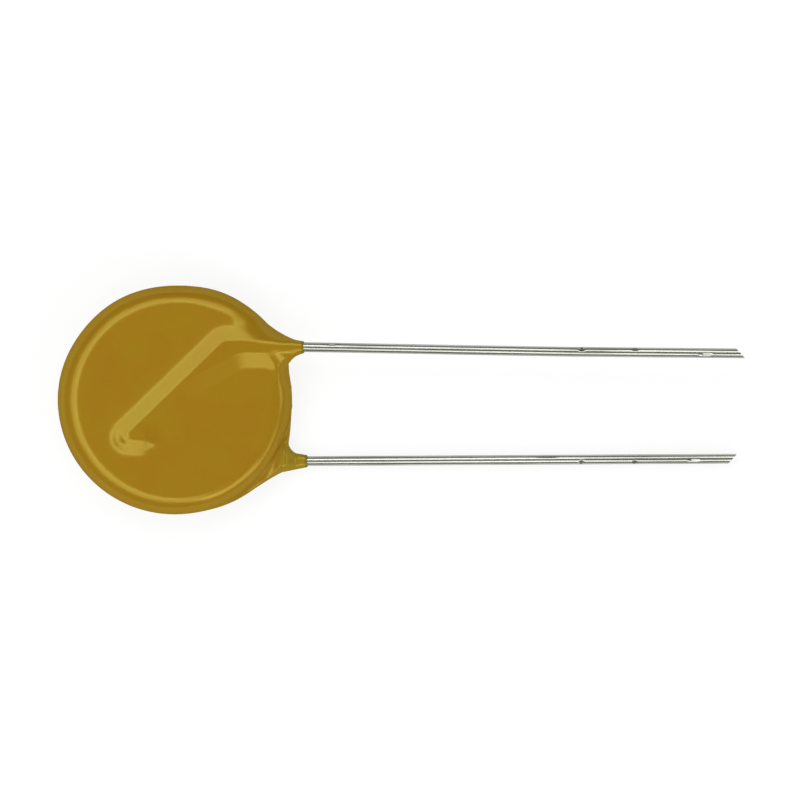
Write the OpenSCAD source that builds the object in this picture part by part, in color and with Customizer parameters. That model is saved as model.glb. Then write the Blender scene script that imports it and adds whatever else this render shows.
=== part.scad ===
// Disc varistor: a zinc oxide disc with a silver electrode on each face, two soldered
// tinned copper leads and a dipped epoxy coating that follows what lies under it.
// The part lies flat: +Z is the axis of the disc, +X points along the leads to their tips.

/* [Ceramic disc] */
// Diameter of the zinc oxide disc
disc_d = 14; // [13:0.1:14.2]
// Thickness of the zinc oxide disc
disc_t = 1.8; // [1.2:0.1:3]
// Chamfer round both edges of the disc
disc_chamfer = 0.2; // [0.1:0.05:0.3]

/* [Electrodes] */
// Diameter of the silver electrode on each face
electrode_d = 12.4; // [11:0.1:12.8]
// Thickness of the fired silver
electrode_t = 0.03; // [0.02:0.01:0.06]

/* [Leads] */
// Diameter of the tinned copper wire
wire_d = 0.65; // [0.5:0.05:0.8]
// Distance between the two leads where they leave the coating
lead_pitch = 7.5; // [6.5:0.1:8]
// Sideways offset of the pair of leads from the middle of the disc
lead_offset = -0.28; // [-0.5:0.01:0.5]
// Bare length of the front lead
front_len = 28.7; // [15:0.1:40]
// Bare length of the back lead
back_len = 27.9; // [15:0.1:40]
// Angle by which the front lead leans towards the back one
front_splay = 0.81; // [0:0.01:1.5]
// Angle by which the back lead leans towards the front one
back_splay = 0.33; // [0:0.01:1.5]
// Slant of the cut ends
cut_angle = 35; // [0:1:45]
// Where each lead turns across its electrode, measured from the middle of the disc
bend_x = 3.15; // [2.6:0.05:3.4]
// Angle through which each lead turns there
bend_turn = 44; // [40:0.5:50]
// Centreline radius of that turn
bend_r = 1; // [0.8:0.1:1.5]
// Length of wire that crosses the electrode, from the corner of the turn to its end
seat_len = 8.5; // [7:0.1:9]

/* [Solder] */
// Solder between the electrode and the wire
solder_film = 0.05; // [0.03:0.01:0.1]
// Width of the solder fillet on the electrode
solder_w = 1.7; // [1.2:0.1:2]
// Height of the fillet where it meets the wire
solder_h = 0.5; // [0.3:0.05:0.55]
// Where the solder starts, measured along the wire from the corner of the turn
solder_start = 0.8; // [0.6:0.1:1.5]
// How far the solder runs past the end of the wire
solder_past = 0.35; // [0.2:0.05:0.5]

/* [Coating] */
// Thickness of the coating over the flat of each face
face_skin = 0.5; // [0.4:0.05:0.8]
// Thickness of the coating round the rim
rim_skin = 0.6; // [0.5:0.05:0.9]
// Thickness of the coating over the crest of each wire
wire_skin = 0.25; // [0.2:0.05:0.4]
// Width of the rounded shoulder between the flat and the outermost edge
shoulder_w = 1.2; // [0.9:0.05:1.5]
// Slope of the coating down both sides of a wire
flank_angle = 20; // [15:1:28]
// How much the coating swells round the end of each wire
end_swell = 0.15; // [0:0.01:0.3]
// How far the front tab of coating runs out along its lead past the rim
front_tab = 1; // [0.6:0.05:1.5]
// How far the back tab runs out
back_tab = 1.2; // [0.6:0.05:1.5]
// Thickness of the coating where a tab ends on its wire
tab_lip = 0.07; // [0.05:0.01:0.15]
// How fast a tab widens towards the disc
tab_flare = 0.35; // [0.1:0.05:0.6]

/* [Outline of the dipped disc] */
// Extra radius along the axis on which the wet coating sagged, and lack of it across
sag = 0.06; // [0:0.01:0.15]
// Direction of that axis
sag_angle = -12; // [-90:1:90]
// How far the web at the front tab draws the edge out
front_web = 0.67; // [0.2:0.01:0.9]
// Half width of that web, as an angle
front_web_half = 9; // [6:0.5:15]
// How far the web at the back tab draws the edge out
back_web = 0.52; // [0.2:0.01:0.9]
// Half width of that web, as an angle
back_web_half = 16.5; // [6:0.5:20]
// Long bulge of the edge beyond the front web
bulge = 0.3; // [0:0.01:0.4]
// Angle from the front web to the middle of the bulge
bulge_turn = 19; // [10:1:40]
// Half width of the bulge, as an angle
bulge_half = 27; // [15:1:40]
// Height of the edge at a web, from half way up the disc towards the wire's level
web_lift = 0.6; // [0:0.05:0.8]

/* [Hidden] */
$fn = 64;

// Heights above the middle of the disc
wire_r = wire_d / 2;
electrode_z = disc_t / 2 + electrode_t;
wire_z = electrode_z + solder_film + wire_r;
face_z = electrode_z + face_skin;
crest_r = wire_r + wire_skin;

// Radii of the coating
coat_r = disc_d / 2 + rim_skin;
flat_r = coat_r - shoulder_w;

// What differs from the front to the back
FRONT = 0;
BACK = 1;
SIDES = [FRONT, BACK];
UP = [1, -1];
splay = [front_splay, back_splay];
bare = [front_len, back_len];
exit_x = [coat_r + front_tab, coat_r + back_tab];
exit_y = [lead_pitch / 2 + lead_offset, lead_pitch / 2 - lead_offset];

// Inside the coating each lead leans a little outwards, held apart by the disc
toe = 0.3;
bend_y = [for (s = SIDES) exit_y[s] - (exit_x[s] - bend_x) * tan(toe)];

// Outermost edge of the dipped disc, drawn out to both tabs
web_angle = [for (s = SIDES) UP[s] * atan2(exit_y[s], coat_r)];
web_out = [front_web, back_web];
web_half = [front_web_half, back_web_half];
function turned(a) = let (m = (a % 360 + 540) % 360) m - 180;
function bell(t) = exp(-t * t);
function web(a, s) = bell(turned(a - web_angle[s]) / web_half[s]);
function edge_r(a) = coat_r + sag * cos(2 * (a - sag_angle))
    + web_out[FRONT] * web(a, FRONT) + web_out[BACK] * web(a, BACK)
    + bulge * bell(turned(a - web_angle[FRONT] - bulge_turn) / bulge_half);
function edge_z(a) = web_lift * (web(a, FRONT) - web(a, BACK));

// The lowest crest of the back face stands on z = 0, and x = 0 is half way along the part
low_z = wire_z + crest_r;
tip_x = max([for (s = SIDES) exit_x[s] + bare[s] * cos(splay[s]) + wire_r * tan(cut_angle)]);
mid_x = (tip_x - edge_r(180)) / 2;

module place() {
    translate([-mid_x, 0, low_z]) children();
}

// Both faces are drawn as the front one: the back is the same form turned over about X
module on_side(s) {
    rotate([s == FRONT ? 0 : 180, 0, 0]) children();
}

// Puts the corner of a lead's turn at the origin, with its way out along +X
module at_bend(s) {
    on_side(s) translate([bend_x, bend_y[s], wire_z]) rotate([0, 0, toe]) children();
}

// Ceramic and electrodes

module disc_body() {
    flat = disc_d / 2 - disc_chamfer;
    side = disc_t / 2 - disc_chamfer;
    rotate_extrude() polygon([
        [0, -disc_t / 2], [flat, -disc_t / 2], [disc_d / 2, -side],
        [disc_d / 2, side], [flat, disc_t / 2], [0, disc_t / 2]]);
}

module electrode(s) {
    on_side(s) translate([0, 0, disc_t / 2]) cylinder(d = electrode_d, h = electrode_t);
}

module ceramic_disc() {
    color("dimgray") place() disc_body();
}

module electrode_front() {
    color("silver") place() electrode(FRONT);
}

module electrode_back() {
    color("silver") place() electrode(BACK);
}

// Leads

turn_run = bend_r * tan(bend_turn / 2);
kink_r = 5;
kink = [for (s = SIDES) toe + splay[s]];

// A short stretch of the straight outer wire stays inside the tab, and the kink is behind it
hidden_run = 0.1;
way_out = [for (s = SIDES) (exit_x[s] - bend_x) / cos(toe) - hidden_run];
inner_run = [for (s = SIDES) to_micron(way_out[s] - turn_run - 2 * kink_r * tan(kink[s] / 2))];
function to_micron(x) = round(x * 1000) / 1000;

module straight_wire(length) {
    rotate([0, 90, 0]) cylinder(r = wire_r, h = length);
}

// Starts at the origin along +X and turns towards -Y. Its child carries on from its end
module curved_wire(radius, angle) {
    translate([0, -radius, 0]) mirror([1, -1, 0])
        rotate_extrude(angle = angle) translate([radius, 0]) circle(r = wire_r);
    translate([radius * sin(angle), radius * (cos(angle) - 1), 0]) rotate([0, 0, -angle])
        children();
}

// Starts at the origin along +X and ends at the slanted cut
module bare_wire(length) {
    difference() {
        straight_wire(length + wire_d);
        translate([length, 0, 0]) rotate([0, 0, cut_angle])
            translate([0, -2 * wire_d, -wire_d]) cube([4 * wire_d, 4 * wire_d, 2 * wire_d]);
    }
}

module wire(s) {
    translate([turn_run + inner_run[s], 0, 0]) {
        curved_wire(kink_r, kink[s]) bare_wire(hidden_run + bare[s]);
        translate([-inner_run[s], 0, 0]) {
            straight_wire(inner_run[s]);
            mirror([1, 0, 0]) curved_wire(bend_r, bend_turn) straight_wire(seat_len - turn_run);
        }
    }
}

module lead_front() {
    color("gainsboro") place() at_bend(FRONT) wire(FRONT);
}

module lead_back() {
    color("gainsboro") place() at_bend(BACK) wire(BACK);
}

// Solder

module solder_bead() {
    foot = electrode_z - wire_z;
    rotate([0, 0, 180 + bend_turn]) translate([solder_start, 0, 0]) rotate([90, 0, 90])
        linear_extrude(seat_len + solder_past - solder_start) polygon([
            [-solder_w / 2, foot], [solder_w / 2, foot],
            [wire_r, foot + solder_h], [-wire_r, foot + solder_h]]);
}

module solder(s) {
    at_bend(s) difference() {
        solder_bead();
        wire(s);
    }
}

module solder_front() {
    color("lightgray") place() solder(FRONT);
}

module solder_back() {
    color("lightgray") place() solder(BACK);
}

// Coating

function mix(a, b, t) = a + (b - a) * t;
function ease(t) = let (u = min(1, max(0, t))) u * u * (3 - 2 * u);
function along(a) = [cos(a), sin(a)];
function smooth_max(a, b, k) = let (h = max(k - abs(a - b), 0) / k) max(a, b) + h * h * k / 4;

// The line of each wire as seen from the front
corner = [for (s = SIDES) [bend_x, UP[s] * exit_y[s]]];
seat_angle = [for (s = SIDES) UP[s] * (180 + bend_turn)];
seat_end = [for (s = SIDES) corner[s] + seat_len * along(seat_angle[s])];

// Half width of a tab at a distance back from its tip, and its height towards each face
lip_r = wire_r + tab_lip;
function tab_side(back) = lip_r + tab_flare * pow(back, 1.3);
function tab_top(back) = mix(lip_r, crest_r, ease(back / 1.5));
function tab_low(back) = lip_r + 0.3 * back;
function dome(side, half, height) = abs(side) < half
    ? height * sqrt(1 - side * side / (half * half))
    : 3 * (half - abs(side));

// Height of the coating over the axis of a wire on a face, at a distance to one side
function tent(d) = d < crest_r * sin(flank_angle)
    ? sqrt(crest_r * crest_r - d * d)
    : (crest_r - d * sin(flank_angle)) / cos(flank_angle);

function off_line(p, a, b) = let (
    ab = b - a,
    t = min(1, max(0, ((p - a) * ab) / (ab * ab)))
) norm(p - a - t * ab);

// Height over the axis of wire s of what covers it, outwards and back towards the other face
function cover_out(p, s) = let (
    seat = off_line(p, corner[s], seat_end[s]),
    swell = end_swell * (1 - ease((norm(p - seat_end[s]) - 0.5) / 1.5)),
    side = p[1] - corner[s][1],
    back = max(0, exit_x[s] - p[0]),
    round = ease((root_run + 1 - back) / root_run),
    over_way = mix(tent(abs(side)), dome(side, tab_side(back), tab_top(back)), round)
) max(tent(seat * (1 - swell)), p[0] < bend_x ? -face_z : over_way);
function cover_in(p, s) = let (back = max(0, exit_x[s] - p[0]))
    back > root_run ? -2 * face_z
        : dome(p[1] - corner[s][1], tab_side(back), tab_low(back));

// Height of the outer surface on face s, outwards from the middle of the disc
function skin_z(p, s) = let (
    a = atan2(p[1], p[0]),
    u = (norm(p) - flat_r) / (edge_r(a) - flat_r),
    edge = UP[s] * edge_z(a),
    body = u <= 0 ? face_z : u < 1 ? mix(edge, face_z, sqrt(1 - u * u)) : -3 * face_z,
    own = wire_z + cover_out(p, s),
    other = cover_in(p, 1 - s) - wire_z
) smooth_max(smooth_max(body, own, melt), other, melt);

// Rays from the edge to the flat: over each tab, then round the disc between the tabs
TAB_RAYS = 4;
root_back = 0.95;
root_run = 2.4;
melt = 0.12;
function tab_point(s, j, back) = [exit_x[s] - back, corner[s][1]
    + sin(90 * j / TAB_RAYS) * tab_side(back) * (back > 0 ? 0.97 : 1)];
function angle_of(p) = atan2(p[1], p[0]);

// Where a line beside the way out of a wire meets the edge of the flat
function flat_meet(s, side) = let (y = corner[s][1] + side) [sqrt(flat_r * flat_r - y * y), y];

FLAT_SIDE = 1.25;
root = [for (s = SIDES) [for (k = [-1, 1]) angle_of(
    [exit_x[s] - root_back, corner[s][1] + k * tab_side(root_back)])]];
meet = [for (s = SIDES) [for (k = [-1, 1]) angle_of(flat_meet(s, k * FLAT_SIDE))]];

function fractions(n) = [for (i = [0 : n - 1]) (i + 0.5) / n];
ARC_RAYS = 54;
GAP_RAYS = 9;
function arc_pair(f) = let (a = mix(root[FRONT][1], root[BACK][0] + 360, f)) [a, lookup(a, [
    [root[FRONT][1], meet[FRONT][1]], [90, 90], [270, 270],
    [root[BACK][0] + 360, meet[BACK][0] + 360]])];
function gap_pair(f) = [mix(root[BACK][1], root[FRONT][0], f), mix(meet[BACK][1], meet[FRONT][0], f)];

// Each ray: its point on the edge, its point on the flat's edge, and its lead where it is on a tab
function tab_ray(s, j) = [tab_point(s, j, 0), flat_meet(s, FLAT_SIDE * j / (TAB_RAYS + 1)), s, j];
function plain_ray(pair) = [edge_r(pair[0]) * along(pair[0]), flat_r * along(pair[1])];
rays = concat(
    [for (j = [-TAB_RAYS : TAB_RAYS]) tab_ray(FRONT, j)],
    [for (f = fractions(ARC_RAYS)) plain_ray(arc_pair(f))],
    [for (j = [-TAB_RAYS : TAB_RAYS]) tab_ray(BACK, j)],
    [for (f = fractions(GAP_RAYS)) plain_ray(gap_pair(f))]);

// Rows of points down each ray, counted from the edge: over the shoulder, the flat, the ridge
RIM_ROWS = 6;
ridge_rings = [1.45, 0.95, 0.5, 0.2, 0.1];
end_zone = 40;

function rim_point(ray, i) = let (
    t = cos(90 * i / RIM_ROWS),
    straight = mix(ray[1], ray[0], t),
    s = ray[2],
    back = is_undef(s) ? 0 : exit_x[s] - straight[0]
) is_undef(s) || i == RIM_ROWS ? straight
    : mix(straight, tab_point(s, ray[3], back), ease((root_run - back) / root_run * 1.5));

function ridge_point(ray, d, share, s) = let (
    a = angle_of(ray[1]),
    rel = turned(a - seat_angle[s] - 180),
    t = min(1, max(0, (abs(rel) - end_zone) / (180 - 2 * end_zone))),
    foot = mix(corner[s], seat_end[s], t),
    way = t == 0 ? rel * 90 / end_zone
        : t == 1 ? 180 + turned(rel - 180) * 90 / end_zone
        : sign(rel) * 90
) foot + min(d, share * norm(ray[1] - foot)) * along(seat_angle[s] + 180 + way);

function row_point(ray, i, s) = i <= RIM_ROWS ? rim_point(ray, i)
    : i == RIM_ROWS + 1 ? (ray[1] + ridge_point(ray, ridge_rings[0], 0.8, s)) / 2
    : ridge_point(ray, ridge_rings[i - RIM_ROWS - 2], 0.8 - 0.15 * (i - RIM_ROWS - 2), s);
LAST_ROW = RIM_ROWS + 1 + len(ridge_rings);

function side_row(i, s) = [for (ray = rays)
    let (p = row_point(ray, i, s)) [p[0], p[1], UP[s] * skin_z(p, s)]];
edge_row = [for (ray = rays) [ray[0][0], ray[0][1],
    is_undef(ray[2]) ? edge_z(angle_of(ray[0])) : UP[ray[2]] * wire_z]];

module dipped_skin() {
    rows = concat([for (i = [LAST_ROW : -1 : 1]) side_row(i, BACK)], [edge_row],
        [for (i = [1 : LAST_ROW]) side_row(i, FRONT)]);
    n = len(rays);
    last = len(rows) - 1;
    walls = [for (i = [0 : last - 1]) for (k = [0 : n - 1])
        let (a = i * n + k, b = i * n + (k + 1) % n)
            each [[a, b + n, b], [a, a + n, b + n]]];
    ends = [[for (k = [0 : n - 1]) k], [for (k = [n - 1 : -1 : 0]) last * n + k]];
    polyhedron([for (row = rows) each row], concat(walls, ends));
}

module epoxy_coating() {
    color("darkgoldenrod") place() difference() {
        dipped_skin();
        disc_body();
        for (s = SIDES) {
            electrode(s);
            at_bend(s) solder_bead();
            at_bend(s) wire(s);
        }
    }
}

ceramic_disc();
electrode_front();
electrode_back();
solder_front();
solder_back();
lead_front();
lead_back();
epoxy_coating();
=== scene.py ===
import math

import bpy
import numpy as np
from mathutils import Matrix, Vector


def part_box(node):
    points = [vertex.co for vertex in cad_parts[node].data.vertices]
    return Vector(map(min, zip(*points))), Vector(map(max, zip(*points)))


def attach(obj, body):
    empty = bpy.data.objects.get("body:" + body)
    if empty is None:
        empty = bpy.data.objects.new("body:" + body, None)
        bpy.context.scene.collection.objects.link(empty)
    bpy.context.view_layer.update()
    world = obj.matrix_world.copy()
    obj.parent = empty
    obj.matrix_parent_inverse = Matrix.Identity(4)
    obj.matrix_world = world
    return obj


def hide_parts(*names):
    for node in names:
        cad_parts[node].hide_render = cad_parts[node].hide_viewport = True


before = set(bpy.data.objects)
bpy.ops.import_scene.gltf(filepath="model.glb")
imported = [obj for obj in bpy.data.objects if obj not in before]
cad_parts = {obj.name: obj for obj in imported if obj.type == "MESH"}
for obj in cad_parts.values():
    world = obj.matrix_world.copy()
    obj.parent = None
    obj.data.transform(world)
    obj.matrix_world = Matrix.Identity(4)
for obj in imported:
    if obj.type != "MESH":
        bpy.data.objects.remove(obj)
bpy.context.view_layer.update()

MM = 0.001

# The front side and the back side, as the signs of Y and Z on them
FRONT, BACK = 1, -1
SIDES = (FRONT, BACK)

# The middle of the ceramic disc, in millimetres
disc_low, disc_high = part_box("ceramic_disc")
disc_middle = (np.array(disc_low) + np.array(disc_high)) / 2 / MM


# Camera, straight above the part

PIXELS_PER_MM = 15.2
PHOTO_PIXELS = 800
PHOTO_WIDTH = PHOTO_PIXELS / PIXELS_PER_MM * MM
CAMERA_X = -1 / PIXELS_PER_MM * MM
CAMERA_HEIGHT = 0.6
CAMERA_CLIP = (0.01, 20)
SENSOR = 36

bpy.ops.object.select_all(action="DESELECT")
bpy.ops.object.camera_add(location=(CAMERA_X, 0, CAMERA_HEIGHT), rotation=(0, 0, 0))
camera = bpy.context.object
camera.data.sensor_width = SENSOR
camera.data.lens = SENSOR * (CAMERA_HEIGHT - disc_middle[2] * MM) / PHOTO_WIDTH
camera.data.clip_start, camera.data.clip_end = CAMERA_CLIP
bpy.context.scene.camera = camera


# Sizes of the leads and the coating, in millimetres from the middle of the ceramic disc.
# Both sides are drawn as the front one, with Y above zero on the lead's side, and azimuths
# are in degrees from +X.

# Wire, its turn across the electrode and the stretch that is soldered down
WIRE_R = 0.325
WIRE_Z = 1.305
BEND_X = 3.15
BEND_TURN = math.radians(44)
BEND_R = 1.0
SEAT_LEN = 8.5
TOE = math.radians(0.3)
SEAT_WAY = np.array([math.cos(BEND_TURN), math.sin(BEND_TURN)])

# Where each lead leaves its tab, and its bare stretch with the slack that it took
TIP_X = {FRONT: 8.6, BACK: 8.8}
LEAD_Y = {FRONT: 3.47, BACK: 4.03}
SPLAY = {FRONT: math.radians(0.81), BACK: math.radians(0.33)}
BARE = {FRONT: 28.7, BACK: 27.9}
LONGER = {FRONT: -0.075, BACK: 0.1}
SAG = {FRONT: 0.06, BACK: 0.0}
SAG_RUN = 17.7
CUT = math.radians(42)

# Small flats and nicks in the leads: place along X, half the length, tilt, depth
MARKS = {
    FRONT: [(10.4, 0.25, 50, 0.03), (26.8, 0.22, 42, 0.07), (30.3, 0.25, 38, 0.03),
            (34.95, 0.5, -19, 0.028)],
    BACK: [(24.5, 0.9, 32, 0.012), (26.8, 0.2, -42, 0.06), (30.3, 0.22, -40, 0.035),
           (34.25, 0.45, -17, 0.022)],
}

# Rim and faces of the dipped disc
COAT_R = 7.53
FLAT_R = 6.1
FACE_Z = 1.43

# Oval that the wet coating took, and soft bulges of the rim and of the line where the
# face begins to turn down: how far out, azimuth, half width
OVAL = 0.06
OVAL_AT = -12
RIM_BULGES = ((-0.07, 143, 20), (0.12, 3, 13), (-0.02, 98, 16))
FLAT_BULGES = ((0.15, 75, 25), (0.25, -60, 45))

# Crest of the coating over a wire, and how steeply it runs down to the face
CREST_R = 0.5
CREST_FLAT = 0.3
FLANK = math.radians(18)
RIDGE_SHIFT = 0.085
RIDGE_SHORT = 0.15
WAY_OUT_START = (0.4, -0.05)

# Web of coating across the inside of the bend: its run down the seat and its outer corner
BEND_WEB = 2.9
BEND_WEB_OUT = (4.25, 3.2)

# Lump over the end of the wire, steeper towards the back lead
LUMP = [(-2.95, -2.52), (-1.85, -2.62), (-2.1, -1.95)]
LUMP_STEEPER = 0.42
LUMP_STEEP_AT = -58
LUMP_STEEP_HALF = 34

# Fold beside the lump on the front face: middle, direction, depth, half width and length
FOLD_X, FOLD_Y = -3.42, -2.56
FOLD_COS, FOLD_SIN = 0.61, 0.79
FOLD_DEPTH = 0.38
FOLD_HALF = 0.36
FOLD_LONG = 0.5

# How softly the forms of a face run into each other
SEAT_BLEND = 0.15
BEND_BLEND = 0.25
LUMP_BLEND = 0.3
FACE_BLEND = 0.1

# Tabs: radius of the lip on the wire, and how each side widens towards the disc.
# Front: rate, reach and power. Back: rate, then a further rate, its start and its power.
LIP_R = 0.395
FRONT_TAB_OUTER = (0.2, 2.2, 1.45)
FRONT_TAB_INNER = (0.4, 1.5, 1.2)
BACK_TAB_OUTER = (0.2, 0.3, 1.7, 1)
BACK_TAB_INNER = (0.16, 0.9, 0.75, 1.5)
TAB_ROOT_X = 5.0
TAB_ROOT_BLEND = 0.3
TAB_BLEND = {FRONT: 0.6, BACK: 0.4}
TAB_END_BLEND = 0.1
TAB_CREST_HALF = 0.12
TAB_CREST_BLEND = 0.5

# Webs that draw the rim out to the tabs: how far out, and half the width as an angle
WEB_ANGLE = {s: math.degrees(math.atan2(LEAD_Y[s], COAT_R)) for s in SIDES}
WEB_OUT = {FRONT: 0.67, BACK: 0.54}
FRONT_WEB_HALF = (9, 7)
BACK_WEB_HALF = 17.5
WEB_BULGES = {
    FRONT: ((0.3, 19, 27), (0.08, 15, 10), (0.12, 42, 17)),
    BACK: ((0.19, 28, 16),),
}
WEB_LIFT = 0.6

# The sharper edge of the front face near its tab: azimuth and half width, how far in the
# face begins to turn down there and beyond, and how much less round the edge is
SHARP_AT, SHARP_HALF = 18, 13
SHARP_IN = -0.92
SHARP_NEXT = (-0.25, 57, 12)
SHARP_LESS_ROUND = 0.5

# Sleeve of coating that a tab draws round its wire, and the saddle under it
DRAWN_X, DRAWN_RUN = 6.7, 1.25
DRAWN_HALF, DRAWN_SOFT = 1.35, 0.6
SLEEVE_X = {FRONT: 7.8, BACK: 8.0}
SADDLE_BLEND = 0.2
SADDLE_STEEP, SADDLE_STEEP_RUN = 1.2, 0.55
SADDLE_SLOPE, SADDLE_RUN = 0.4, 1.6
TAB_THINNEST = 0.25

# Where the two sides join: blend at the rim, and the wider one in the webs
JOIN_BLEND = 0.1
JOIN_WEB_BLEND = 0.4
JOIN_WEB_HALF = 15
JOIN_R, JOIN_RUN = 6.4, 0.8
JOIN_Z = 0.6

# Least width of the rounded edge, and the scale that brings the form near to millimetres
LEAST_EDGE = 0.05
FORM_SCALE = 1.3


def bell(t):
    return np.exp(-t * t)


def ease(t):
    t = np.clip(t, 0, 1)
    return t * t * (3 - 2 * t)


def smooth_max(a, b, k):
    h = np.maximum(k - np.abs(a - b), 0) / k
    return np.maximum(a, b) + h * h * k / 4


def smooth_min(a, b, k):
    return -smooth_max(-a, -b, k)


def turned(degrees):
    return (degrees + 180) % 360 - 180


def swollen(radius, angle, bulges):
    """A radius with soft bulges: how far out, azimuth, half width."""
    for out, azimuth, half in bulges:
        radius = radius + out * bell(turned(angle - azimuth) / half)
    return radius


def off_line(x, y, a, b):
    """Distance from the straight line between a and b."""
    ab = np.subtract(b, a)
    t = np.clip(((x - a[0]) * ab[0] + (y - a[1]) * ab[1]) / (ab @ ab), 0, 1)
    return np.hypot(x - a[0] - t * ab[0], y - a[1] - t * ab[1])


def off_patch(x, y, corners):
    """Distance from a patch with straight sides, its corners anticlockwise."""
    sides = list(zip(corners, corners[1:] + corners[:1]))
    off = [off_line(x, y, a, b) for a, b in sides]
    left = [(b[0] - a[0]) * (y - a[1]) > (b[1] - a[1]) * (x - a[0]) for a, b in sides]
    return np.where(np.all(left, axis=0), 0, np.min(off, axis=0))


def off_crest(x, y, s):
    """Distance in plan from the crest over a wire, its bend's web and the lump at its end."""
    corner = np.array([BEND_X - RIDGE_SHIFT, LEAD_Y[s] + RIDGE_SHIFT])
    end = corner - (SEAT_LEN - RIDGE_SHORT) * SEAT_WAY
    seat = off_line(x, y, corner, end)
    way_out = off_line(x, y, corner + WAY_OUT_START, (TIP_X[s], LEAD_Y[s])) - CREST_FLAT
    side = smooth_min(seat, np.maximum(0, way_out), SEAT_BLEND)

    inside = corner - (CREST_FLAT / math.tan(BEND_TURN), CREST_FLAT)
    web = off_patch(x, y, [tuple(inside), tuple(inside - BEND_WEB * SEAT_WAY), BEND_WEB_OUT])
    below = (x - corner[0]) * SEAT_WAY[1] > (y - corner[1]) * SEAT_WAY[0]
    side = np.where(below, smooth_min(side, web, BEND_BLEND), side)

    azimuth = np.degrees(np.arctan2(y - LUMP[1][1], x - LUMP[1][0]))
    steeper = LUMP_STEEPER * bell(turned(azimuth - LUMP_STEEP_AT) / LUMP_STEEP_HALF)
    lump = off_patch(x, y, LUMP) * (1 + steeper)
    return np.maximum(0, smooth_min(side, lump, LUMP_BLEND))


def face_height(x, y, s):
    """Height of a face with the coating that runs down from the crest of its wire."""
    side = off_crest(x, y, s)
    plane = (CREST_R - side * math.sin(FLANK)) / math.cos(FLANK)
    crest = np.sqrt(np.maximum(0, CREST_R ** 2 - side ** 2))
    top = WIRE_Z + np.where(side > CREST_R * math.sin(FLANK), plane, crest)
    if s == FRONT:
        along = (x - FOLD_X) * FOLD_COS - (y - FOLD_Y) * FOLD_SIN
        across = (x - FOLD_X) * FOLD_SIN + (y - FOLD_Y) * FOLD_COS
        top = top - (FOLD_DEPTH * across * bell(across / FOLD_HALF)
                     * bell(along / FOLD_LONG))
    return smooth_max(top, FACE_Z + 0 * x, FACE_BLEND)


def front_flare(back, rate, reach, power):
    return rate * np.minimum(back, reach) ** power


def back_flare(back, rate, further, start, power):
    return rate * back + further * np.maximum(0, back - start) ** power


def tab_half(x, off, s):
    """Half the width of a tab, on its outer side where off is above zero."""
    back = np.maximum(0, TIP_X[s] - x)
    if s == FRONT:
        outer, inner = front_flare(back, *FRONT_TAB_OUTER), front_flare(back, *FRONT_TAB_INNER)
    else:
        outer, inner = back_flare(back, *BACK_TAB_OUTER), back_flare(back, *BACK_TAB_INNER)
    return LIP_R + np.where(off > 0, outer, inner)


def plain_edge(angle):
    """Radius of the outline without its tabs."""
    oval = OVAL * np.cos(np.radians(2 * (angle - OVAL_AT)))
    return swollen(COAT_R + oval, angle, RIM_BULGES)


def flat_edge(angle):
    """Radius at which the face begins to turn down."""
    return swollen(FLAT_R, angle, FLAT_BULGES)


def side_form(x, y, z, s):
    """The face, ridge and tab of one side, with the tab on the side of y above zero."""
    angle = np.degrees(np.arctan2(y, x))
    radius = np.hypot(x, y)
    off = y - LEAD_Y[s]
    turn = turned(angle - WEB_ANGLE[s])

    # Rim and face, drawn out to the tab
    flat = radius - flat_edge(s * angle)
    if s == FRONT:
        web = bell(turn / np.where(turn > 0, *FRONT_WEB_HALF))
        sharp = bell((angle - SHARP_AT) / SHARP_HALF)
        flat = swollen(flat + SHARP_IN * sharp, angle, (SHARP_NEXT,))
    else:
        web = bell(turn / BACK_WEB_HALF)
        sharp = 0 * x
    edge = swollen(plain_edge(s * angle) + WEB_OUT[s] * web, turn, WEB_BULGES[s])

    # Tab in plan, and the line along its crest
    tab = smooth_max(np.abs(off) - tab_half(x, off, s), x - TIP_X[s], TAB_END_BLEND)
    tab = smooth_max(tab, TAB_ROOT_X - x, TAB_ROOT_BLEND)
    outer = smooth_min(radius - edge, tab, TAB_BLEND[s])
    crest = smooth_max(np.abs(off) - TAB_CREST_HALF, x - TIP_X[s] + TAB_CREST_HALF,
                       TAB_END_BLEND)
    crest = smooth_max(crest, TAB_ROOT_X - x, TAB_ROOT_BLEND)
    flat = smooth_min(flat, crest, TAB_CREST_BLEND)

    # Heights of the outermost edge, the top and the underside
    drawn = (ease((x - DRAWN_X) / DRAWN_RUN)
             * ease((DRAWN_HALF - np.abs(off)) / DRAWN_SOFT))
    lift = WEB_LIFT * web * (1 - drawn) + WIRE_Z * drawn
    top = face_height(x, y, s) * (1 - drawn) + (WIRE_Z + LIP_R) * drawn
    saddle = smooth_max(SLEEVE_X[s] - x, 0 * x, SADDLE_BLEND)
    low = (WIRE_Z - LIP_R - SADDLE_STEEP * np.minimum(saddle, SADDLE_STEEP_RUN)
           - SADDLE_SLOPE * np.clip(saddle - SADDLE_STEEP_RUN, 0, SADDLE_RUN))

    # Rounded section from the flat or the crest out to the edge
    front = z > lift
    inner = np.maximum(0, np.where(front, flat, crest))
    out = inner / np.maximum(LEAST_EDGE, inner - outer)
    depth = np.where(front, top - lift, np.minimum(low - lift, -TAB_THINNEST))
    up = (z - lift) / depth
    power = 2 - SHARP_LESS_ROUND * np.where(front, sharp, 0)
    return ((out ** power + np.abs(up) ** power) ** (1 / power) - 1) * FORM_SCALE


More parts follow.
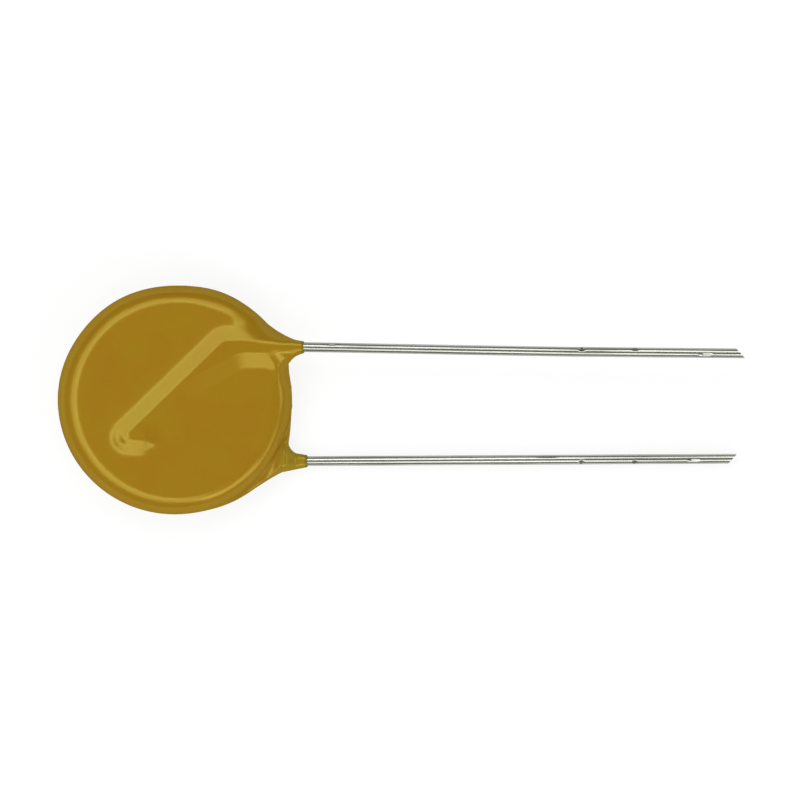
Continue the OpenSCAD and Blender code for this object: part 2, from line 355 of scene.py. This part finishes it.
def coating_form(p):
    """Below zero inside the coating and above zero outside."""
    x, y, z = p[:, 0], p[:, 1], p[:, 2]
    angle = np.degrees(np.arctan2(y, x))
    radius = np.hypot(x, y)
    flat = flat_edge(angle)
    out = (radius - flat) / (plain_edge(angle) - flat)
    form = (np.hypot(np.maximum(0, out), z / FACE_Z) - 1) * FORM_SCALE
    for s in SIDES:
        web = (bell(turned(s * angle - WEB_ANGLE[s]) / JOIN_WEB_HALF)
               * ease((radius - JOIN_R) / JOIN_RUN))
        web = web * ease((JOIN_Z - s * z) / JOIN_Z)
        form = smooth_min(form, side_form(x, s * y, s * z, s),
                          JOIN_BLEND + JOIN_WEB_BLEND * web)
    return form


# Moving points onto the form

SLOPE_STEP = 0.01
LEAST_SLOPE = 0.05
LONGEST_MOVE = 0.25
TINY = 1e-9


def slope_of(form, p):
    columns = []
    for axis in range(3):
        shift = np.zeros(3)
        shift[axis] = SLOPE_STEP
        columns.append((form(p + shift) - form(p - shift)) / (2 * SLOPE_STEP))
    return np.stack(columns, axis=1)


def settle(form, p, rounds):
    """Moves points onto the surface where form is zero."""
    for _ in range(rounds):
        slope = slope_of(form, p)
        size = np.maximum((slope * slope).sum(axis=1), LEAST_SLOPE)
        step = -(form(p) / size)[:, None] * slope
        length = np.linalg.norm(step, axis=1)
        p = p + step * np.minimum(1, LONGEST_MOVE / np.maximum(length, TINY))[:, None]
    return p


# Modelling helpers

def deselect():
    bpy.ops.object.select_all(action="DESELECT")


def take(*objects):
    """Selects these objects and nothing else, the first one active."""
    deselect()
    for obj in objects:
        obj.select_set(True)
    bpy.context.view_layer.objects.active = objects[0]


def named(name):
    """Names the object that was just added."""
    obj = bpy.context.object
    obj.name = name
    obj.data.name = name
    return obj


def apply_modifier(obj, kind, **settings):
    take(obj)
    modifier = obj.modifiers.new(kind.title(), kind)
    for key, value in settings.items():
        setattr(modifier, key, value)
    bpy.ops.object.modifier_apply(modifier=modifier.name)


def points_of(obj):
    flat = np.empty(len(obj.data.vertices) * 3)
    obj.data.vertices.foreach_get("co", flat)
    return flat.reshape(-1, 3)


def put_points(obj, points):
    obj.data.vertices.foreach_set("co", points.ravel())
    obj.data.update()


def relax(obj, points, share):
    """Moves each point a share of the way to the middle of its neighbours."""
    pairs = np.empty(len(obj.data.edges) * 2, dtype=np.int32)
    obj.data.edges.foreach_get("vertices", pairs)
    a, b = pairs[0::2], pairs[1::2]
    total = np.zeros_like(points)
    count = np.zeros(len(points))
    np.add.at(total, a, points[b])
    np.add.at(total, b, points[a])
    np.add.at(count, a, 1)
    np.add.at(count, b, 1)
    return points + share * (total / count[:, None] - points)


def in_place(obj):
    """From millimetres round the middle of the disc to metres in the part's own place."""
    put_points(obj, (points_of(obj) + disc_middle) * MM)


# Coating

RIM_SIDES = 96
RIM_BEVEL = 1.0
RIM_BEVEL_STEPS = 4
TAB_CONE = {"vertices": 32, "radius1": 1.3, "radius2": 0.45, "depth": 3.4}
TAB_CONE_BACK = 1.75
TAB_CONE_LOWER = 0.15

# Size of the remesh, and rounds of smoothing on the form after it
PASSES = ((0.15, 6), (0.1, 8))
RELAX_SHARE = 0.7
LAST_ROUNDS = 3


def make_coating():
    deselect()
    bpy.ops.mesh.primitive_cylinder_add(vertices=RIM_SIDES, radius=COAT_R, depth=2 * FACE_Z)
    coating = named("dipped_coating")
    bpy.ops.object.mode_set(mode="EDIT")
    bpy.ops.mesh.select_all(action="SELECT")
    bpy.ops.mesh.bevel(offset=RIM_BEVEL, segments=RIM_BEVEL_STEPS, affect="EDGES")
    bpy.ops.object.mode_set(mode="OBJECT")
    tabs = []
    for s in SIDES:
        deselect()
        place = (TIP_X[s] - TAB_CONE_BACK, s * LEAD_Y[s], s * (WIRE_Z - TAB_CONE_LOWER))
        bpy.ops.mesh.primitive_cone_add(location=place, rotation=(0, math.pi / 2, 0),
                                        **TAB_CONE)
        tabs.append(named("tab"))
    take(coating, *tabs)
    bpy.ops.object.join()
    take(coating)
    bpy.ops.object.transform_apply(location=True, rotation=True, scale=True)
    for voxel, rounds in PASSES:
        apply_modifier(coating, "REMESH", mode="VOXEL", voxel_size=voxel)
        points = points_of(coating)
        for _ in range(rounds):
            points = settle(coating_form, relax(coating, points, RELAX_SHARE), 1)
        put_points(coating, settle(coating_form, points, LAST_ROUNDS))
    in_place(coating)
    take(coating)
    bpy.ops.object.shade_smooth()
    return coating


coating = make_coating()


# Leads: fineness of the mesh, the run past the cut that is cut off again, how softly a
# mark ends, and the least angle that stays a sharp edge

WIRE_SIDES = 48
BEND_STEPS = 12
BARE_STEPS = 360
PAST_CUT = 1
MARK_SOFT = 0.6
CUT_EDGE = math.radians(40)


def tube(name, path, radius):
    """A wire of even thickness along a path of points."""
    curve = bpy.data.curves.new(name, "CURVE")
    curve.dimensions = "3D"
    spline = curve.splines.new("POLY")
    spline.points.add(len(path) - 1)
    for point, place in zip(spline.points, path):
        point.co = (*place, 1)
    curve.bevel_depth = radius
    curve.bevel_resolution = WIRE_SIDES // 2 - 2
    curve.use_fill_caps = True
    obj = bpy.data.objects.new(name, curve)
    bpy.context.collection.objects.link(obj)
    take(obj)
    bpy.ops.object.convert(target="MESH")
    return bpy.context.object


def slack(s, run):
    """How far a lead hangs off its straight line, at a run along its bare stretch."""
    return SAG[s] * min(run / SAG_RUN, (BARE[s] - run) / (BARE[s] - SAG_RUN))


def lead_path(s):
    turn_run = BEND_R * math.tan(BEND_TURN / 2)
    tip = np.array([TIP_X[s], LEAD_Y[s]])
    corner = np.array([BEND_X, LEAD_Y[s] - (TIP_X[s] - BEND_X) * math.tan(TOE)])
    path = [corner - SEAT_WAY * SEAT_LEN]
    centre = corner - SEAT_WAY * turn_run + BEND_R * np.array([SEAT_WAY[1], -SEAT_WAY[0]])
    for i in range(BEND_STEPS + 1):
        a = math.pi / 2 + BEND_TURN * (1 - i / BEND_STEPS)
        path.append(centre + BEND_R * np.array([math.cos(a), math.sin(a)]))
    path.append(tip)
    for i in range(1, BARE_STEPS + 1):
        run = (BARE[s] + PAST_CUT) * i / BARE_STEPS
        path.append(tip + (run * math.cos(SPLAY[s]),
                           -run * math.sin(SPLAY[s]) - slack(s, run)))
    return [(x, s * y, s * WIRE_Z) for x, y in path]


def press(points, s, place, length, tilt, depth):
    """Presses a small flat into a lead; tilt is from straight up towards +Y."""
    run = place - TIP_X[s]
    axis = s * (LEAD_Y[s] - run * math.tan(SPLAY[s]) - slack(s, run))
    away = np.array([0, math.sin(math.radians(tilt)), math.cos(math.radians(tilt))])
    height = (points - (0, axis, s * WIRE_Z)) @ away
    share = ease((length - np.abs(points[:, 0] - place)) / (length * MARK_SOFT))
    over = np.maximum(0, height - (WIRE_R - depth)) * share
    return points - over[:, None] * away


def make_lead(s, name):
    lead = tube(name, lead_path(s), WIRE_R)
    points = points_of(lead)
    for mark in MARKS[s]:
        points = press(points, s, *mark)
    put_points(lead, points)
    bare = BARE[s] + LONGER[s]
    cut = (TIP_X[s] + bare * math.cos(SPLAY[s]), s * (LEAD_Y[s] - bare * math.sin(SPLAY[s])), 0)
    slant = CUT * s
    bpy.ops.object.mode_set(mode="EDIT")
    bpy.ops.mesh.select_all(action="SELECT")
    bpy.ops.mesh.bisect(plane_co=cut, plane_no=(math.cos(slant), math.sin(slant), 0),
                        use_fill=True, clear_outer=True)
    bpy.ops.object.mode_set(mode="OBJECT")
    in_place(lead)
    take(lead)
    bpy.ops.object.shade_smooth_by_angle(angle=CUT_EDGE)
    return lead


lead_front = make_lead(FRONT, "front_lead")
lead_back = make_lead(BACK, "back_lead")


# Shader maths

class Socket:
    """A node's output that can be used in Python expressions."""

    def __init__(self, shader, socket):
        self.shader = shader
        self.socket = socket

    def _math(self, operation, a, b):
        return self.shader.node("ShaderNodeMath", {"operation": operation}, {0: a, 1: b})

    def __add__(self, other):
        return self._math("ADD", self, other)

    def __sub__(self, other):
        return self._math("SUBTRACT", self, other)

    def __rsub__(self, other):
        return self._math("SUBTRACT", other, self)

    def __mul__(self, other):
        return self._math("MULTIPLY", self, other)

    __radd__ = __add__
    __rmul__ = __mul__


class Shader:
    """Nodes of one material."""

    def __init__(self, name):
        self.material = bpy.data.materials.new(name)
        self.material.use_nodes = True
        self.tree = self.material.node_tree
        self.principled = self.tree.nodes["Principled BSDF"]
        self.place = self.node("ShaderNodeTexCoord", {}, {}, "Object")

    def node(self, kind, settings, inputs, output=0):
        """Adds a node: its type, its settings, its inputs by name or number, its output."""
        node = self.tree.nodes.new(kind)
        for key, value in settings.items():
            if key == "stops":
                self.set_stops(node.color_ramp, value)
            else:
                setattr(node, key, value)
        for key, value in inputs.items():
            self.feed(node.inputs[key], value)
        return Socket(self, node.outputs[output])

    def set_stops(self, ramp, stops):
        while len(ramp.elements) < len(stops):
            ramp.elements.new(0.5)
        for element, (position, colour) in zip(ramp.elements, stops):
            element.position = position
            element.color = (*colour, 1)

    def feed(self, socket, value):
        if isinstance(value, Socket):
            self.tree.links.new(value.socket, socket)
        else:
            socket.default_value = value

    def surface(self, **inputs):
        """Sets the Principled shader's own sockets."""
        for key, value in inputs.items():
            self.feed(self.principled.inputs[key.replace("_", " ")], value)

    def own(self):
        return Socket(self, self.principled.outputs[0])

    def finish(self, result):
        self.feed(self.tree.nodes["Material Output"].inputs["Surface"], result)

    def scaled(self, scale):
        return self.node("ShaderNodeMapping", {}, {"Vector": self.place, "Scale": scale})

    def noise(self, vector, scale, detail):
        return self.node("ShaderNodeTexNoise", {}, {
            "Vector": vector, "Scale": scale, "Detail": detail, "Roughness": 0.55})

    def axis(self, name):
        return self.node("ShaderNodeSeparateXYZ", {}, {0: self.place}, name)

    def far(self, middle):
        """Distance in plan from a middle."""
        off_x = self.axis("X") - float(middle[0])
        off_y = self.axis("Y") - float(middle[1])
        return self.node("ShaderNodeMath", {"operation": "SQRT"},
                         {0: off_x * off_x + off_y * off_y})

    def rise(self, value, low, high):
        """From 0 where value is low to 1 where it is high."""
        return self.node("ShaderNodeMapRange", {},
                         {"Value": value, "From Min": low, "From Max": high})

    def mix(self, share, a, b):
        """Colours a and b mixed, b in the share given."""
        a, b = (c if isinstance(c, Socket) else (*c, 1) for c in (a, b))
        return self.node("ShaderNodeMix", {"data_type": "RGBA"}, {0: share, 6: a, 7: b}, 2)

    def blend(self, share, a, b):
        """Shaders a and b mixed, b in the share given."""
        return self.node("ShaderNodeMixShader", {}, {0: share, 1: a, 2: b})

    def ramp(self, value, *stops):
        return self.node("ShaderNodeValToRGB", {"stops": stops}, {"Fac": value})

    def bump(self, height, strength, distance):
        return self.node("ShaderNodeBump", {}, {
            "Strength": strength, "Distance": distance, "Height": height})


def linear(*rgb):
    """A colour as it is seen, 0 to 255, as the values that shaders take."""
    return tuple((c / 255 / 12.92) if c <= 10.3 else ((c / 255 + 0.055) / 1.055) ** 2.4
                 for c in rgb)


BLACK = (0, 0, 0)
WHITE = (1, 1, 1)

OCHRE = (linear(154, 112, 22), linear(153, 118, 22))
OLIVE = linear(144, 124, 30)
SMEAR = linear(95, 70, 20)
SMEAR_SHARE = 0.1
# Darker olive of the thin resin at the tab ends, with painted shade in it
TAB_END_OLIVE_AND_SHADE = linear(88, 96, 24)
RESIN_GLOSS = linear(255, 249, 125)
GLOSS_SHARE = 0.061

# Where the tabs turn olive, as a distance from the disc's middle, and how much of it the
# front tab takes and the back tab more
OLIVE_FROM, OLIVE_TO = 7.7 * MM, 8.4 * MM
OLIVE_FRONT, OLIVE_BACK_MORE = 0.1, 0.5

# Dark end of each tab, partly the thin resin's own darker olive and partly painted shade on the
# end of the coating: where the front one ends, and the band before it
TAB_END_X = (TIP_X[FRONT] + disc_middle[0]) * MM
TAB_END_STEP = (TIP_X[BACK] - TIP_X[FRONT]) * MM
TAB_END_FROM, TAB_END_TO = 0.28 * MM, 0.1 * MM
TAB_END_SHADE_SHARE = 0.75


def epoxy():
    shader = Shader("ochre_epoxy")
    cloud = shader.noise(shader.place, scale=330, detail=4)
    colour = shader.ramp(cloud, (0.3, OCHRE[0]), (0.7, OCHRE[1]))
    tabs = shader.rise(shader.far(disc_middle[:2] * MM), OLIVE_FROM, OLIVE_TO)
    x, y = shader.axis("X"), shader.axis("Y")
    behind = shader.node("ShaderNodeMath", {"operation": "LESS_THAN"}, {0: y, 1: 0.0})
    colour = shader.mix(tabs * (behind * OLIVE_BACK_MORE + OLIVE_FRONT), colour, OLIVE)
    smear = shader.noise(shader.scaled((500, 2600, 900)), scale=1, detail=2)
    smear = shader.ramp(smear, (0.66, BLACK), (0.76, WHITE))
    colour = shader.mix(smear * SMEAR_SHARE, colour, SMEAR)
    # Painted shade, with the thin resin's darker olive, over the end of each tab
    past = shader.rise(x - behind * TAB_END_STEP, TAB_END_X - TAB_END_FROM,
                       TAB_END_X - TAB_END_TO)
    colour = shader.mix(past * TAB_END_SHADE_SHARE, colour, TAB_END_OLIVE_AND_SHADE)
    grain = shader.noise(shader.place, scale=5200, detail=2)
    normal = shader.bump(grain, strength=0.15, distance=0.00001)
    shader.surface(Base_Color=colour, Roughness=0.5, Specular_IOR_Level=0.0, Normal=normal)
    gloss = shader.node("ShaderNodeBsdfGlossy", {}, {
        "Roughness": 0.22, "Normal": normal, "Color": (*RESIN_GLOSS, 1)})
    shader.finish(shader.blend(GLOSS_SHARE, shader.own(), gloss))
    return shader.material


TIN = (linear(166, 166, 158), linear(188, 188, 180))
STAIN = linear(118, 120, 104)
STAIN_SHARE = 0.55


def tinned():
    shader = Shader("tinned_wire")
    streaks = shader.noise(shader.scaled((60, 6500, 6500)), scale=1, detail=1)
    stains = shader.noise(shader.scaled((170, 2600, 2600)), scale=1, detail=3)
    colour = shader.ramp(streaks, (0.35, TIN[0]), (0.65, TIN[1]))
    stains = shader.ramp(stains, (0.48, BLACK), (0.68, WHITE))
    colour = shader.mix(stains * STAIN_SHARE, colour, STAIN)
    shader.surface(Base_Color=colour, Metallic=0.8, Roughness=0.14,
                   Normal=shader.bump(streaks, strength=0.12, distance=0.00002))
    return shader.material


def ceramic():
    shader = Shader("zinc_oxide")
    grain = shader.noise(shader.place, scale=9000, detail=3)
    colour = shader.ramp(grain, (0.3, (0.035, 0.036, 0.04)), (0.7, (0.06, 0.06, 0.065)))
    shader.surface(Base_Color=colour, Roughness=0.7)
    return shader.material


def bare_metal(name, scale, detail, dark, light, roughness, depth):
    """A metal with a fine grain in its colour and its surface."""
    shader = Shader(name)
    grain = shader.noise(shader.place, scale, detail)
    shader.surface(Base_Color=shader.ramp(grain, (0.3, dark), (0.7, light)),
                   Metallic=1.0, Roughness=roughness,
                   Normal=shader.bump(grain, strength=0.2, distance=depth))
    return shader.material


def silver():
    return bare_metal("fired_silver", scale=7000, detail=3, dark=(0.74, 0.73, 0.71),
                      light=(0.84, 0.83, 0.81), roughness=0.45, depth=0.00001)


def solder():
    return bare_metal("tin_solder", scale=2400, detail=2, dark=(0.55, 0.55, 0.56),
                      light=(0.68, 0.68, 0.69), roughness=0.3, depth=0.00003)


def dress(obj, material):
    obj.data.materials.clear()
    obj.data.materials.append(material)


dress(coating, epoxy())
tin = tinned()
dress(lead_front, tin)
dress(lead_back, tin)
metal = silver()
bead = solder()
for name, material in (("ceramic_disc", ceramic()), ("electrode_front", metal),
                       ("electrode_back", metal), ("solder_front", bead),
                       ("solder_back", bead)):
    dress(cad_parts[name], material)

for piece, node, slot in ((coating, "epoxy_coating", "epoxy"),
                          (lead_front, "lead_front", "tinned_wire"),
                          (lead_back, "lead_back", "tinned_wire")):
    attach(piece, "root")
    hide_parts(node)


# Studio

SOFTBOX_FAR = 0.6

# Softboxes in a ring round most of the part: azimuths, zenith, size, radiance
RING_LAMPS = 10
RING_START, RING_STEP = 61.5, 23
RING_ZENITH = 37
RING_SIZE = (0.15, 0.33)
RING_RADIANCE = 2.4

# Low softboxes on the leads' side: azimuth, zenith, width, height, radiance
LOW_SOFTBOXES = (
    ("low_softbox_0", 302, 57, 0.34, 0.24, 3.1),
    ("low_softbox_3", 284, 49, 0.1, 0.16, 2.7),
    ("low_softbox_1", 329, 68, 0.3, 0.16, 2.0),
    ("low_softbox_2", 10, 66, 0.34, 0.15, 2.5),
)
SKY_STRENGTH = 0.1

FLOOR_SIZE = 4
FLOOR_GREY = (0.75, 0.75, 0.75)
FLOOR_GLOW = 0.85


def softbox(name, azimuth, zenith, wide, high, radiance):
    a, z = math.radians(azimuth), math.radians(zenith)
    place = Vector((math.sin(z) * math.cos(a), math.sin(z) * math.sin(a), math.cos(z)))
    deselect()
    bpy.ops.object.light_add(type="AREA", location=place * SOFTBOX_FAR)
    lamp = bpy.context.object
    lamp.name = name
    lamp.rotation_euler = place.to_track_quat("Z", "Y").to_euler()
    lamp.data.shape = "RECTANGLE"
    lamp.data.size = wide
    lamp.data.size_y = high
    lamp.data.energy = radiance * math.pi * wide * high


for i in range(RING_LAMPS):
    softbox(f"softbox_{i}", RING_START + RING_STEP * i, RING_ZENITH, *RING_SIZE,
            RING_RADIANCE)
for low_softbox in LOW_SOFTBOXES:
    softbox(*low_softbox)

world = bpy.data.worlds.new("studio")
bpy.context.scene.world = world
world.use_nodes = True
background = world.node_tree.nodes["Background"]
background.inputs["Color"].default_value = (1, 1, 1, 1)
background.inputs["Strength"].default_value = SKY_STRENGTH

deselect()
bpy.ops.mesh.primitive_plane_add(size=FLOOR_SIZE, location=(0, 0, 0))
floor = named("floor")


def floor_white():
    """White to the camera and in reflections, and pale grey to the light it throws back."""
    shader = Shader("white_floor")
    seen, glossy, passing = (shader.node("ShaderNodeLightPath", {}, {}, f"Is {ray} Ray")
                             for ray in ("Camera", "Glossy", "Transmission"))
    shown = seen + glossy + passing
    colour = shader.node("ShaderNodeMix", {"data_type": "RGBA", "clamp_factor": True},
                         {0: shown, 6: (*FLOOR_GREY, 1), 7: (*WHITE, 1)}, 2)
    shader.surface(Base_Color=colour, Roughness=1.0, Specular_IOR_Level=0.0)
    glow = shader.node("ShaderNodeEmission", {}, {"Strength": 1.0})
    shader.finish(shader.blend(shown * FLOOR_GLOW, shader.own(), glow))
    return shader.material


dress(floor, floor_white())

bpy.context.scene.view_settings.view_transform = "Standard"
